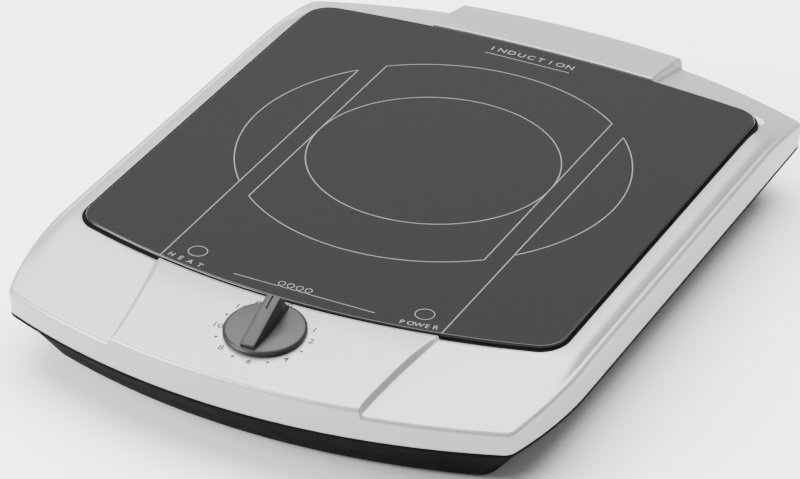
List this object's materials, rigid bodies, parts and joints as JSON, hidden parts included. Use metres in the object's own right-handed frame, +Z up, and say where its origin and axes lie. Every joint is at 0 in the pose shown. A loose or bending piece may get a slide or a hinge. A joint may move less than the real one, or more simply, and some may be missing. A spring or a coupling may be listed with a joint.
{
  "type": "electric induction cooktop",
  "caption": "Portable induction cooktop: dark glass plate in a silver housing with sloped front panel, rotary power knob and black sloped base tray on rubber feet.",
  "frame": {"origin": "on the surface it stands on, under the middle of its plan box", "axes": "+X to the cook's right, +Y to the back, +Z up"},
  "size_m": [0.312, 0.4314, 0.0715],
  "materials": {
    "cover_plastic": "satin silver",
    "glass_ceramic": "polished dark glass-ceramic",
    "seal_rubber": "matt black",
    "tray_plastic": "fine moulded grain",
    "foot_rubber": "matt black",
    "knob_plastic": "satin dark grey",
    "screw_steel": "zinc plated",
    "board_green": "solder mask",
    "black_component": "moulded",
    "red_lamp": "clear red",
    "clear_guide": "clear",
    "capacitor_case": "moulded",
    "carrier_plastic": "glass filled",
    "copper_wire": "varnished copper",
    "ferrite": "matt ceramic",
    "mica": "pressed mica",
    "aluminium_sheet": "mill",
    "wire_insulation": "silicone sleeve"
  },
  "bodies": {
    "root": {"top_cover": "cover_plastic", "glass_plate": "glass_ceramic", "glass_seal": "seal_rubber", "base_tray": "tray_plastic", "housing_screws": "screw_steel", "foot_screws": "screw_steel", "rubber_foot_front_left": "foot_rubber", "rubber_foot_front_right": "foot_rubber", "rubber_foot_rear_left": "foot_rubber", "rubber_foot_rear_right": "foot_rubber", "regulator": "black_component", "control_board": "board_green", "control_board_screws": "screw_steel", "heat_indicator_lamp": "red_lamp", "power_indicator_lamp": "red_lamp", "heat_light_guide": "clear_guide", "power_light_guide": "clear_guide", "coil_carrier": "carrier_plastic", "ferrite_bars": "ferrite", "coil_winding": "copper_wire", "insulation_sheet": "mica", "glass_temperature_sensor": "black_component", "shield_plate": "aluminium_sheet", "shield_screws": "screw_steel", "coil_cushions": "foot_rubber", "fan_frame": "black_component", "fan_screws": "screw_steel", "power_board": "board_green", "power_board_screws": "screw_steel", "heat_sink": "aluminium_sheet", "power_transistor": "black_component", "bridge_rectifier": "black_component", "resonance_capacitor": "capacitor_case", "filter_capacitor": "capacitor_case", "bus_capacitor": "capacitor_case", "relay": "black_component", "auxiliary_transformer": "capacitor_case", "current_transformer": "black_component", "terminal_block": "black_component", "electrolytic_capacitors": "black_component", "filter_choke": "copper_wire", "mains_fuse": "clear_guide", "beeper": "black_component", "coil_leads": "wire_insulation", "control_leads": "wire_insulation", "fan_leads": "wire_insulation", "cord_gland": "black_component", "cord_clamp": "black_component", "cord_clamp_screws": "screw_steel", "air_baffle": "carrier_plastic"},
    "knob": {"control_knob": "knob_plastic", "knob_spring_clip": "screw_steel", "regulator_shaft": "screw_steel"},
    "impeller": {"fan_impeller": "black_component"}
  },
  "joints": [
    {"name": "knob_turn", "type": "hinge", "parent": "root", "child": "knob", "pos_m": [0, -0.17325, 0.05475], "axis": [0, 0.1167, -0.9932], "range_deg": [0, 324]},
    {"name": "fan_spin", "type": "hinge", "parent": "root", "child": "impeller", "pos_m": [-0.072, 0.09325, 0.017], "axis": [0, 0, 1], "continuous": true}
  ]
}
